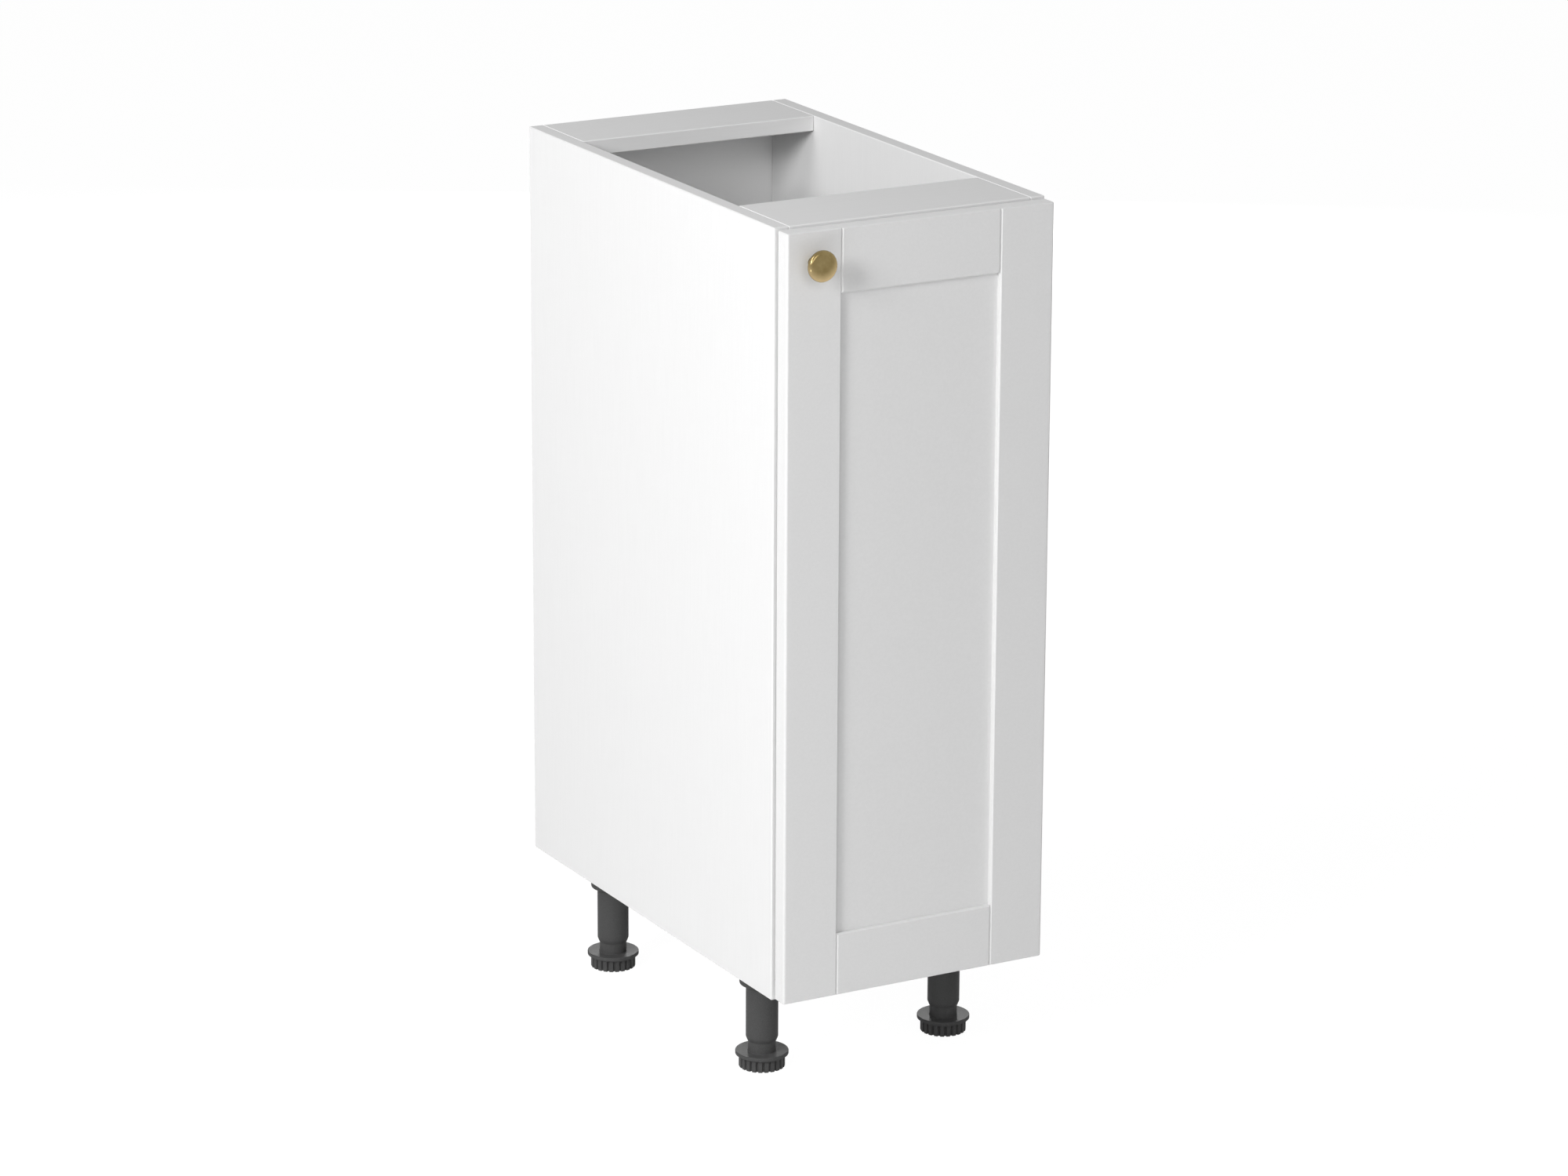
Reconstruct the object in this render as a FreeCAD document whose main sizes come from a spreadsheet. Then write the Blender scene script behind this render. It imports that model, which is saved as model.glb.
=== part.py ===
"""Narrow kitchen base cabinet: white board carcass with an open top, framed door and four screw feet.

Millimetres. X runs to the right, Y to the back and Z up. The origin is on the floor, under the middle
of the cabinet's overall depth. The door hangs on the right on two concealed hinges.
"""
import FreeCAD
import Part
import os
import re
import Sketcher

# Every size that can be set by itself
SIZES = {
    # Carcass boards
    "carcass_width": 300,
    "carcass_height": 780,
    "carcass_depth": 520,
    "board": 16,
    "board_bevel": 0.9,
    "back_thickness": 3,
    "back_inset": 2,
    "front_rail_width": 100,
    "rear_rail_width": 90,
    # Shelf and its pins
    "shelf_level": 372,
    "shelf_depth": 480,
    "shelf_setback": 25,
    "shelf_side_gap": 0.5,
    "shelf_pin_radius": 2.5,
    "shelf_pin_length": 16,
    "shelf_pin_in_side": 8,
    "shelf_pin_from_edge": 50,
    "shelf_hole_pitch": 32,
    # Dowels, cams and cam bolts that hold the carcass together
    "dowel_radius": 4,
    "dowel_length": 30,
    "dowel_in_side": 11,
    "dowel_from_edge": 20,
    "dowel_from_cam": 64,
    "hole_end_gap": 0.5,
    "cam_radius": 7.5,
    "cam_height": 12,
    "cam_from_end": 34,
    "cam_gap": 0.1,
    "cam_slot_width": 2.4,
    "cam_slot_depth": 2,
    "bolt_radius": 3,
    "bolt_in_side": 9,
    "bolt_in_cam": 5,
    "bottom_cam_from_edge": 40,
    # Legs
    "leg_height": 110,
    "leg_from_side": 44,
    "leg_from_front": 98,
    "leg_from_rear": 95,
    "leg_plate_width": 60,
    "leg_plate_thickness": 4,
    "leg_plate_corner": 10,
    "collar_radius": 23,
    "collar_height": 22,
    "tube_radius": 16.4,
    "tube_fit": 0.1,
    "tube_above_floor": 28,
    "tube_taper_height": 4,
    "tube_taper": 1.6,
    "stem_radius": 14.1,
    "stem_gap": 0.3,
    "stem_above_floor": 72,
    "foot_flange_radius": 27,
    "foot_flange_thickness": 3.8,
    "foot_ring_radius": 23.4,
    "foot_ring_height": 13.2,
    "flute_count": 22,
    "flute_width": 2.4,
    "flute_depth": 1.7,
    "flute_height": 11,
    # Door frame and panel
    "door_gap": 3,
    "door_thickness": 19,
    "door_reveal": 2,
    "door_round": 2.5,
    "door_bevel": 1,
    "stile_width": 60,
    "door_rail_height": 64,
    "joint_chamfer": 1.5,
    "panel_recess": 5,
    "panel_thickness": 8,
    "panel_tongue": 7.5,
    "groove_depth": 8,
    "groove_gap": 0.1,
    # Knob, its screw and the bumpers
    "knob_radius": 15.5,
    "knob_projection": 23,
    "knob_head": 7,
    "knob_edge": 1.2,
    "knob_stem_radius": 5.5,
    "knob_flare": 3,
    "knob_from_edge": 28,
    "knob_from_top": 30,
    "knob_screw_radius": 2,
    "knob_screw_grip": 9,
    "knob_screw_head_radius": 4,
    "knob_screw_head": 2.2,
    "knob_screw_gap": 0.15,
    "bumper_radius": 4,
    "bumper_gap": 0.1,
    "bumper_from_edge": 6,
    "bumper_from_end": 20,
    # Concealed hinges
    "hinge_from_end": 100,
    "cup_radius": 17.5,
    "cup_from_edge": 3,
    "cup_depth": 13.7,
    "cup_wall": 1.8,
    "cup_floor": 1.2,
    "cup_gap": 0.1,
    "cup_rim": 0.4,
    "cup_rim_thickness": 0.8,
    "cup_ear_pitch": 48,
    "cup_ear_radius": 6,
    "cup_ear_offset": 6,
    "pin_radius": 1.25,
    "pin_end_gap": 0.4,
    "pin_gap": 0.05,
    "pin_from_edge": 8.5,
    "pin_depth": 8.5,
    "link_width": 4.4,
    "link_thickness": 10,
    "link_reach": 14.5,
    "link_drop": 1,
    "link_bend": 3.6,
    "link_end_flat": 0.1,
    "link_in_carcass": 20,
    "arm_width": 16,
    "arm_rise": 10,
    "arm_wall": 1.5,
    "arm_link_gap": 1.8,
    "arm_setback": 5,
    "arm_length": 57,
    "rivet_radius": 1.5,
    "rivet_from_end": 4.5,
    "rivet_pitch": 7,
    "plate_from_front": 37,
    "plate_thickness": 3,
    "plate_length": 52,
    "plate_width": 18,
    "plate_corner": 5,
    "spine_length": 37,
    "spine_setback": 3.5,
    "spine_gap": 0.1,
}

# Places that several pieces share, written in those sizes
FRONT = "((door_gap + door_thickness + knob_projection - carcass_depth - back_thickness) / 2)"
REAR = f"({FRONT} + carcass_depth)"
TOP = "(leg_height + carcass_height)"
SIDE = "(carcass_width / 2)"
INNER = "(carcass_width / 2 - board)"
DOOR_BACK = f"({FRONT} - door_gap)"
DOOR_FRONT = f"({FRONT} - door_gap - door_thickness)"
DOOR_EDGE = "(carcass_width / 2 - door_reveal)"
DOOR_FOOT = "(leg_height + door_reveal)"
DOOR_TOP = f"({TOP} - door_reveal)"
DOOR_HEIGHT = "(carcass_height - 2 * door_reveal)"
OPEN_WIDTH = f"(2 * {DOOR_EDGE} - 2 * stile_width)"
GROOVE_NEAR = "(panel_recess - groove_gap)"
GROOVE_FAR = "(panel_recess + panel_thickness + groove_gap)"
PIN_X = f"({DOOR_EDGE} - pin_from_edge)"
PIN_Y = f"({DOOR_BACK} - pin_depth)"
CUP_X = f"({DOOR_EDGE} - cup_from_edge - cup_radius)"
PIN_FROM_CUP = "(cup_radius + cup_from_edge - pin_from_edge + pin_radius)"
PIN_HALF = f"(sqrt(cup_radius ^ 2 - {PIN_FROM_CUP} ^ 2) - pin_end_gap)"
LINK_X = f"({PIN_X} - link_reach)"
ARM_X = f"({LINK_X} - link_width / 2 - arm_link_gap - arm_wall)"
SHELF_FRONT = f"({FRONT} + shelf_setback)"
SHELF_FOOT = "(leg_height + board + shelf_level)"

TURNS = {
    "+x": FreeCAD.Rotation(FreeCAD.Vector(0, 1, 0), 90),
    "-x": FreeCAD.Rotation(FreeCAD.Vector(0, 1, 0), -90),
    "+y": FreeCAD.Rotation(FreeCAD.Vector(1, 0, 0), -90),
    "-y": FreeCAD.Rotation(FreeCAD.Vector(1, 0, 0), 90),
    "+z": FreeCAD.Rotation(),
}
HALF_TURN_Y = FreeCAD.Rotation(FreeCAD.Vector(0, 1, 0), 180)

doc = FreeCAD.newDocument("BaseCabinet")
sheet = doc.addObject("Spreadsheet::Sheet", "Sizes")
nodes = []


def fill_sheet():
    for row, (name, value) in enumerate(SIZES.items(), start=1):
        sheet.set(f"A{row}", name)
        sheet.set(f"B{row}", str(value))
        sheet.setAlias(f"B{row}", name)
    doc.recompute()


def formula(text):
    """Point each size's name at its cell in the sheet."""
    return re.sub(r"[a-z_]+", lambda m: f"Sizes.{m[0]}" if m[0] in SIZES else m[0], text)


def value(text):
    return float(sheet.evalExpression(formula(text)))


def bind(obj, prop, text):
    obj.setExpression(prop, formula(text))


def place(obj, at, turn=None):
    if turn is not None:
        obj.Placement = FreeCAD.Placement(FreeCAD.Vector(), turn)
    for axis, text in zip("xyz", at):
        bind(obj, f"Placement.Base.{axis}", text)


def keep(obj, label):
    """Make an object one of the cabinet's own pieces."""
    obj.Label = label
    nodes.append(obj)
    return obj


# Sketches and features
def new_body(name):
    return doc.addObject("PartDesign::Body", name)


def origin_part(body, role):
    return next(f for f in body.Origin.OriginFeatures if f.Role == role)


def new_sketch(body, plane):
    sketch = body.newObject("Sketcher::SketchObject", body.Name + "_sketch")
    sketch.AttachmentSupport = (origin_part(body, plane), [""])
    sketch.MapMode = "FlatFace"
    return sketch


def pin_point(sketch, line, end, point):
    """Hold one end of a line, or a circle's centre, at a point written in sizes."""
    for kind, axis, text in (("DistanceX", -2, point[0]), ("DistanceY", -1, point[1])):
        if text == "0":
            sketch.addConstraint(Sketcher.Constraint("PointOnObject", line, end, axis))
        else:
            made = sketch.addConstraint(Sketcher.Constraint(kind, -1, 1, line, end, value(text)))
            bind(sketch, f"Constraints[{made}]", text)


def outline(sketch, points):
    """Draw a closed outline of straight lines through points written in sizes."""
    spots = [FreeCAD.Vector(value(x), value(y), 0) for x, y in points]
    count = len(points)
    first = sketch.GeometryCount
    for i in range(count):
        sketch.addGeometry(Part.LineSegment(spots[i], spots[(i + 1) % count]), False)
    for i in range(count):
        sketch.addConstraint(Sketcher.Constraint("Coincident", first + i, 2, first + (i + 1) % count, 1))
    for i, point in enumerate(points):
        pin_point(sketch, first + i, 1, point)


def rectangle(sketch, low, high):
    outline(sketch, [low, (high[0], low[1]), high, (low[0], high[1])])


def circle(sketch, centre, radius):
    spot = FreeCAD.Vector(value(centre[0]), value(centre[1]), 0)
    made = sketch.addGeometry(Part.Circle(spot, FreeCAD.Vector(0, 0, 1), value(radius)), False)
    pin_point(sketch, made, 3, centre)
    rule = sketch.addConstraint(Sketcher.Constraint("Radius", made, value(radius)))
    bind(sketch, f"Constraints[{rule}]", radius)


def feature(body, kind, sketch, length=None, both_ways=False, back=False):
    made = body.newObject(f"PartDesign::{kind}", f"{body.Name}_{kind.lower()}")
    made.Profile = (sketch, [""])
    if kind in ("Revolution", "Groove"):
        made.ReferenceAxis = (sketch, ["V_Axis"])
        made.Angle = 360
    else:
        bind(made, "Length", length)
        made.Midplane = both_ways
        made.Reversed = back
    doc.recompute()
    return made


def prism(body, sides, radius, level, height):
    """Add an upright round piece to a body, drawn with a few flat sides."""
    made = body.newObject("PartDesign::AdditivePrism", f"{body.Name}_prism")
    made.AttachmentSupport = (origin_part(body, "XY_Plane"), [""])
    made.MapMode = "FlatFace"
    bind(made, "AttachmentOffset.Base.z", level)
    bind(made, "Polygon", str(sides))
    bind(made, "Circumradius", radius)
    bind(made, "Height", height)
    doc.recompute()
    return made


def edges_where(shape, test):
    """Names of the edges whose middle passes a test."""
    return [f"Edge{i}" for i, edge in enumerate(shape.Edges, start=1) if test(edge.CenterOfMass)]


def near(a, b):
    return abs(a - b) < 1e-6


def dress(body, kind, test, size):
    """Round or bevel the edges of a body that pass a test."""
    base = body.Tip
    made = body.newObject(f"PartDesign::{kind}", f"{body.Name}_{kind.lower()}")
    made.Base = (base, edges_where(base.Shape, test))
    bind(made, "Radius" if kind == "Fillet" else "Size", size)
    doc.recompute()
    return made


# Plain solids, cuts and groups
def cylinder(at, axis, radius, height):
    made = doc.addObject("Part::Cylinder", "Cylinder")
    bind(made, "Radius", radius)
    bind(made, "Height", height)
    place(made, at, TURNS[axis])
    return made


def rod(at, axis, radius, height, sides=8):
    """A round peg that repeats, or its hole, drawn with a few flat sides."""
    made = doc.addObject("Part::Prism", "Rod")
    made.Polygon = sides
    bind(made, "Circumradius", radius)
    bind(made, "Height", height)
    place(made, at, TURNS[axis])
    return made


def box(low, size):
    made = doc.addObject("Part::Box", "Box")
    for prop, text in zip(("Length", "Width", "Height"), size):
        bind(made, prop, text)
    place(made, low)
    return made


def joined(shapes, name="Joined"):
    if len(shapes) == 1:
        return shapes[0]
    made = doc.addObject("Part::MultiFuse", name)
    made.Shapes = shapes
    return made


def cut_from(base, tools, name="Cut"):
    made = doc.addObject("Part::Cut", name)
    made.Base = base
    made.Tool = joined(tools)
    return made


def group(label, solids):
    made = doc.addObject("Part::Compound", "Group")
    made.Links = solids
    return keep(made, label)


# Carcass boards, with their banded edges just bevelled
def board_blank(name, size, at):
    body = new_body(name)
    sketch = new_sketch(body, "XY_Plane")
    rectangle(sketch, ("0", "0"), (size[0], size[1]))
    feature(body, "Pad", sketch, size[2])
    dress(body, "Chamfer", lambda p: True, "board_bevel")
    place(body, at)
    return body


def rail_front(which):
    return FRONT if which == "front_rail" else f"({REAR} - rear_rail_width)"


def dowel_spots(which):
    if which == "bottom_panel":
        level = "(leg_height + board / 2)"
        near_front = f"({FRONT} + bottom_cam_from_edge + dowel_from_cam)"
        near_rear = f"({REAR} - bottom_cam_from_edge - dowel_from_cam)"
    else:
        level = f"({TOP} - board / 2)"
        near_front = f"({rail_front(which)} + dowel_from_edge)"
        near_rear = f"({rail_front(which)} + {which}_width - dowel_from_edge)"
    return [(near_front, level), (near_rear, level)]


def cam_spots(which):
    if which == "bottom_panel":
        under = "leg_height"
        depths = [f"({FRONT} + bottom_cam_from_edge)", f"({REAR} - bottom_cam_from_edge)"]
    else:
        under = f"({TOP} - board)"
        depths = [f"({rail_front(which)} + {which}_width / 2)"]
    return [(depth, under) for depth in depths]


CROSS_BOARDS = ("front_rail", "rear_rail", "bottom_panel")
PIN_SIDES = 10
CAM_SIDES = 10
CUP_SIDES = 24
LEG_SIDES = 24


def sided(sign, text):
    return text if sign > 0 else f"(-{text})"


def outward(sign):
    return "+x" if sign > 0 else "-x"


def inward(sign):
    return "-x" if sign > 0 else "+x"


def side_holes(sign):
    """Blind holes in a side's inner face: dowels, cam bolts and the shelf's pin rows."""
    face = sided(sign, INNER)
    out = outward(sign)
    tools = []
    for which in CROSS_BOARDS:
        for y, z in dowel_spots(which):
            tools.append(rod((face, y, z), out, "dowel_radius", "dowel_in_side + hole_end_gap"))
        for y, under in cam_spots(which):
            level = f"({under} + board / 2)"
            tools.append(rod((face, y, level), out, "bolt_radius", "bolt_in_side + hole_end_gap"))
    for y in shelf_pin_depths():
        for step in (-1, 0, 1):
            level = f"({SHELF_FOOT} - shelf_pin_radius + {step} * shelf_hole_pitch)"
            depth = "shelf_pin_in_side + hole_end_gap"
            tools.append(rod((face, y, level), out, "shelf_pin_radius", depth, PIN_SIDES))
    return tools


def end_holes(which):
    """Holes in the ends and underside of a board that runs between the sides."""
    tools = []
    for sign in (-1, 1):
        end = sided(sign, INNER)
        into = inward(sign)
        for y, z in dowel_spots(which):
            depth = "dowel_length - dowel_in_side + hole_end_gap"
            tools.append(rod((end, y, z), into, "dowel_radius", depth))
        for y, under in cam_spots(which):
            level = f"({under} + board / 2)"
            tools.append(rod((end, y, level), into, "bolt_radius + cam_gap", "cam_from_end"))
            centre = sided(sign, f"({INNER} - cam_from_end)")
            depth = "cam_height + hole_end_gap"
            tools.append(rod((centre, y, under), "+z", "cam_radius + cam_gap", depth, CAM_SIDES))
    return tools


def shelf_pin_depths():
    return [
        f"({SHELF_FRONT} + shelf_pin_from_edge)",
        f"({SHELF_FRONT} + shelf_depth - shelf_pin_from_edge)",
    ]


def build_carcass():
    for sign, label in ((-1, "left_side"), (1, "right_side")):
        start = f"-{SIDE}" if sign < 0 else INNER
        blank = board_blank(label + "_blank", ("board", "carcass_depth", "carcass_height"),
                            (start, FRONT, "leg_height"))
        keep(cut_from(blank, side_holes(sign)), label)
    across = f"2 * {INNER}"
    bottom = board_blank("bottom_blank", (across, "carcass_depth", "board"), (f"-{INNER}", FRONT, "leg_height"))
    keep(cut_from(bottom, end_holes("bottom_panel")), "bottom_panel")
    for which, label in (("front_rail", "front_top_rail"), ("rear_rail", "rear_top_rail")):
        blank = board_blank(which + "_blank", (across, which + "_width", "board"),
                            (f"-{INNER}", rail_front(which), f"{TOP} - board"))
        keep(cut_from(blank, end_holes(which)), label)
    back = box((f"-{SIDE} + back_inset", REAR, "leg_height + back_inset"),
               ("carcass_width - 2 * back_inset", "back_thickness", "carcass_height - 2 * back_inset"))
    keep(back, "back_panel")
    shelf = board_blank("shelf_board", (f"2 * {INNER} - 2 * shelf_side_gap", "shelf_depth", "board"),
                        (f"-{INNER} + shelf_side_gap", SHELF_FRONT, SHELF_FOOT))
    keep(shelf, "shelf")


def build_fittings():
    pins = []
    dowels = []
    cams = []
    bolts = []
    for sign in (-1, 1):
        into = inward(sign)
        for y in shelf_pin_depths():
            start = sided(sign, f"({INNER} + shelf_pin_in_side)")
            level = f"{SHELF_FOOT} - shelf_pin_radius"
            pins.append(rod((start, y, level), into, "shelf_pin_radius", "shelf_pin_length", PIN_SIDES))
        for which in CROSS_BOARDS:
            for y, z in dowel_spots(which):
                start = sided(sign, f"({INNER} + dowel_in_side)")
                dowels.append(rod((start, y, z), into, "dowel_radius", "dowel_length"))
            for y, under in cam_spots(which):
                start = sided(sign, f"({INNER} + bolt_in_side)")
                level = f"({under} + board / 2)"
                length = "bolt_in_side + cam_from_end - cam_radius + bolt_in_cam"
                bolts.append(rod((start, y, level), into, "bolt_radius", length))
                centre = f"({INNER} - cam_from_end)"
                drum = rod((sided(sign, centre), y, under), "+z", "cam_radius", "cam_height", CAM_SIDES)
                mouth = rod((sided(sign, f"({centre} + cam_radius)"), y, level), into,
                            "bolt_radius", "bolt_in_cam")
                slot = box((f"{sided(sign, centre)} - cam_radius", f"{y} - cam_slot_width / 2", under),
                           ("2 * cam_radius", "cam_slot_width", "cam_slot_depth"))
                cams.append(cut_from(drum, [mouth, slot], "Cam"))
    group("shelf_pins", pins)
    group("dowels", dowels)
    group("cam_housings", cams)
    group("cam_bolts", bolts)


# Legs: a screwed-on plate with a collar, a tube pushed into it and a foot that screws in the tube
def build_leg(name, x, y):
    plate = new_body("plate_" + name)
    flat = new_sketch(plate, "XY_Plane")
    half = "leg_plate_width / 2"
    rectangle(flat, (f"-{half}", f"-{half}"), (half, half))
    feature(plate, "Pad", flat, "leg_plate_thickness", back=True)
    reach = value("leg_plate_width") / 2
    dress(plate, "Chamfer", lambda p: near(abs(p.x), reach) and near(abs(p.y), reach), "leg_plate_corner")
    place(plate, (x, y, "leg_height"))
    foot_of_collar = (x, y, "leg_height - collar_height")
    reach_down = "collar_height - leg_plate_thickness"
    collar = rod(foot_of_collar, "+z", "collar_radius", reach_down, LEG_SIDES)
    bore = rod(foot_of_collar, "+z", "tube_radius + tube_fit", reach_down, LEG_SIDES)
    plate = cut_from(joined([plate, collar]), [bore], "Plate")

    tube = new_body("tube_" + name)
    tube_length = "(leg_height - leg_plate_thickness - tube_above_floor)"
    prism(tube, LEG_SIDES, "tube_radius", "tube_above_floor", tube_length)
    tube_foot = value("tube_above_floor")
    taper = dress(tube, "Chamfer", lambda p: near(p.z, tube_foot), "tube_taper_height")
    taper.ChamferType = "Two distances"
    bind(taper, "Size2", "tube_taper")
    place(tube, (x, y, "0"))
    inside = rod((x, y, "tube_above_floor"), "+z", "stem_radius + stem_gap", tube_length, LEG_SIDES)
    tube = cut_from(tube, [inside], "Tube")

    foot = new_body("foot_blank_" + name)
    flange_top = "(foot_ring_height + foot_flange_thickness)"
    prism(foot, "2 * flute_count", "foot_ring_radius", "0", "foot_ring_height")
    prism(foot, "2 * flute_count", "foot_flange_radius", "foot_ring_height", "foot_flange_thickness")
    prism(foot, LEG_SIDES, "stem_radius", flange_top, f"stem_above_floor - {flange_top}")
    notch = new_sketch(foot, "XY_Plane")
    outline(notch, [
        ("foot_ring_radius - flute_depth", "0"), ("foot_ring_radius + flute_depth", "-flute_width"),
        ("foot_ring_radius + flute_depth", "flute_width"),
    ])
    flute = feature(foot, "Pocket", notch, "flute_height", back=True)
    flutes = foot.newObject("PartDesign::PolarPattern", f"flutes_{name}")
    flutes.Originals = [flute]
    flutes.Axis = (origin_part(foot, "Z_Axis"), [""])
    flutes.Angle = 360
    bind(flutes, "Occurrences", "flute_count")
    foot.Tip = flutes
    place(foot, (x, y, "0"))
    keep(foot, f"foot_{name}")
    return plate, tube


def build_legs():
    made = []
    for x_sign, x_name in ((-1, "left"), (1, "right")):
        x = sided(x_sign, f"({SIDE} - leg_from_side)")
        made.append(build_leg(f"front_{x_name}", x, f"{FRONT} + leg_from_front"))
        made.append(build_leg(f"rear_{x_name}", x, f"{REAR} - leg_from_rear"))
    group("leg_plates", [plate for plate, tube in made])
    group("leg_tubes", [tube for plate, tube in made])


# Door: two stiles, two rails with stub tongues and a panel held in their grooves
def build_stile(label, at, turn, holes):
    body = new_body(label + "_blank")
    plan = new_sketch(body, "XY_Plane")
    outline(plan, [
        ("0", "0"), ("stile_width - joint_chamfer", "0"), ("stile_width", "joint_chamfer"),
        ("stile_width", GROOVE_NEAR), ("stile_width - groove_depth", GROOVE_NEAR),
        ("stile_width - groove_depth", GROOVE_FAR), ("stile_width", GROOVE_FAR),
        ("stile_width", "door_thickness"), ("0", "door_thickness"),
    ])
    feature(body, "Pad", plan, DOOR_HEIGHT)
    tall = value(DOOR_HEIGHT)
    thick = value("door_thickness")

    dress(body, "Fillet", lambda p: near(p.x, 0) and not near(p.y, thick / 2) and near(p.z, tall / 2), "door_round")
    inner = value("stile_width - groove_depth")

    def on_end(p):
        at_end = near(p.z, 0) or near(p.z, tall)
        return at_end and p.x < inner and (near(p.y, 0) or near(p.y, thick) or p.x < thick / 2)

    dress(body, "Chamfer", on_end, "door_bevel")
    place(body, at, turn)
    keep(cut_from(body, holes), label)


def build_door_rail(label, at, turn):
    body = new_body(label + "_body")
    half = f"({OPEN_WIDTH} / 2)"
    plan = new_sketch(body, "XY_Plane")
    outline(plan, [
        (f"-{half} + joint_chamfer", "0"), (f"{half} - joint_chamfer", "0"), (half, "joint_chamfer"),
        (half, "door_thickness"), (f"-{half}", "door_thickness"), (f"-{half}", "joint_chamfer"),
    ])
    feature(body, "Pad", plan, "door_rail_height")
    tall = value("door_rail_height")
    thick = value("door_thickness")
    dress(body, "Chamfer", lambda p: near(p.z, tall) and (near(p.y, 0) or near(p.y, thick)), "door_bevel")
    dress(body, "Chamfer", lambda p: near(p.z, 0) and near(p.y, 0), "joint_chamfer")
    slot = new_sketch(body, "YZ_Plane")
    rectangle(slot, (GROOVE_NEAR, "0"), (GROOVE_FAR, "groove_depth"))
    feature(body, "Pocket", slot, OPEN_WIDTH, both_ways=True)
    tongue = new_sketch(body, "YZ_Plane")
    rectangle(tongue, ("panel_recess", "groove_depth"),
              ("panel_recess + panel_thickness", "door_rail_height - door_bevel"))
    feature(body, "Pad", tongue, f"{OPEN_WIDTH} + 2 * panel_tongue", both_ways=True)
    place(body, at, turn)
    keep(body, label)


def hinge_levels():
    return {"upper": f"({DOOR_TOP} - hinge_from_end)", "lower": f"({DOOR_FOOT} + hinge_from_end)"}


def knob_centre():
    return f"(-{DOOR_EDGE} + knob_from_edge)", f"({DOOR_TOP} - knob_from_top)"


def build_door():
    knob_x, knob_z = knob_centre()
    screw_hole = rod((knob_x, DOOR_FRONT, knob_z), "+y", "knob_screw_radius + knob_screw_gap", "door_thickness")
    build_stile("door_left_stile", (f"-{DOOR_EDGE}", DOOR_FRONT, DOOR_FOOT), None, [screw_hole])
    cup_holes = [
        rod((CUP_X, DOOR_BACK, level), "-y", "cup_radius + cup_gap", "cup_depth + cup_gap", CUP_SIDES)
        for level in hinge_levels().values()
    ]
    build_stile("door_right_stile", (DOOR_EDGE, DOOR_FRONT, DOOR_TOP), HALF_TURN_Y, cup_holes)
    build_door_rail("door_top_rail", ("0", DOOR_FRONT, f"{DOOR_TOP} - door_rail_height"), None)
    build_door_rail("door_bottom_rail", ("0", DOOR_FRONT, f"{DOOR_FOOT} + door_rail_height"), HALF_TURN_Y)
    low = (f"-{OPEN_WIDTH} / 2 - panel_tongue", f"{DOOR_FRONT} + panel_recess",
           f"{DOOR_FOOT} + door_rail_height - panel_tongue")
    size = (f"{OPEN_WIDTH} + 2 * panel_tongue", "panel_thickness",
            f"{DOOR_HEIGHT} - 2 * door_rail_height + 2 * panel_tongue")
    keep(box(low, size), "door_panel")


def build_knob():
    knob_x, knob_z = knob_centre()
    body = new_body("knob_blank")
    section = new_sketch(body, "XY_Plane")
    outline(section, [
        ("0", "0"), ("knob_stem_radius", "0"), ("knob_stem_radius", "-knob_projection + knob_head + knob_flare"),
        ("knob_radius", "-knob_projection + knob_head"),
        ("knob_radius", "-knob_projection + knob_edge"), ("knob_radius - knob_edge", "-knob_projection"),
        ("0", "-knob_projection"),
    ])
    feature(body, "Revolution", section)
    place(body, (knob_x, DOOR_FRONT, knob_z))
    thread = rod((knob_x, DOOR_FRONT, knob_z), "-y", "knob_screw_radius", "knob_screw_grip + hole_end_gap")
    keep(cut_from(body, [thread]), "knob")
    shank = rod((knob_x, DOOR_BACK, knob_z), "-y", "knob_screw_radius", "door_thickness + knob_screw_grip")
    head = rod((knob_x, DOOR_BACK, knob_z), "+y", "knob_screw_head_radius", "knob_screw_head", PIN_SIDES)
    keep(joined([shank, head]), "knob_screw")
    bumpers = [
        rod((f"-{DOOR_EDGE} + bumper_from_edge", DOOR_BACK, level), "+y", "bumper_radius",
            "door_gap - bumper_gap", PIN_SIDES)
        for level in (f"{DOOR_TOP} - bumper_from_end", f"{DOOR_FOOT} + bumper_from_end")
    ]
    group("door_bumpers", bumpers)


# Hinges: a cup let into the door, a hooked link on the cup's pin, an arm and its plate on the side
def build_cup(level):
    bore = "(cup_radius - cup_wall)"
    bowl = rod((CUP_X, DOOR_BACK, level), "-y", "cup_radius", "cup_depth", CUP_SIDES)
    rim = rod((CUP_X, DOOR_BACK, level), "+y", "cup_radius + cup_rim", "cup_rim_thickness", CUP_SIDES)
    ear_x = f"({CUP_X} - cup_ear_offset)"
    ears = []
    for sign in (-1, 1):
        ear_z = f"({level} + {sign} * cup_ear_pitch / 2)"
        ears.append(rod((ear_x, DOOR_BACK, ear_z), "+y", "cup_ear_radius", "cup_rim_thickness", CUP_SIDES))
    ears.append(box((f"{ear_x} - cup_ear_radius", DOOR_BACK, f"{level} - cup_ear_pitch / 2"),
                    ("2 * cup_ear_radius", "cup_rim_thickness", "cup_ear_pitch")))
    mouth = rod((CUP_X, f"{DOOR_BACK} - cup_depth + cup_floor", level), "+y", bore,
                "cup_depth - cup_floor + cup_rim_thickness", CUP_SIDES)
    pin_hole = cylinder((PIN_X, PIN_Y, f"{level} - {PIN_HALF}"), "+z", "pin_radius", f"2 * {PIN_HALF}")
    return cut_from(joined([bowl, rim] + ears), [mouth, pin_hole], "Cup")


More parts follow.
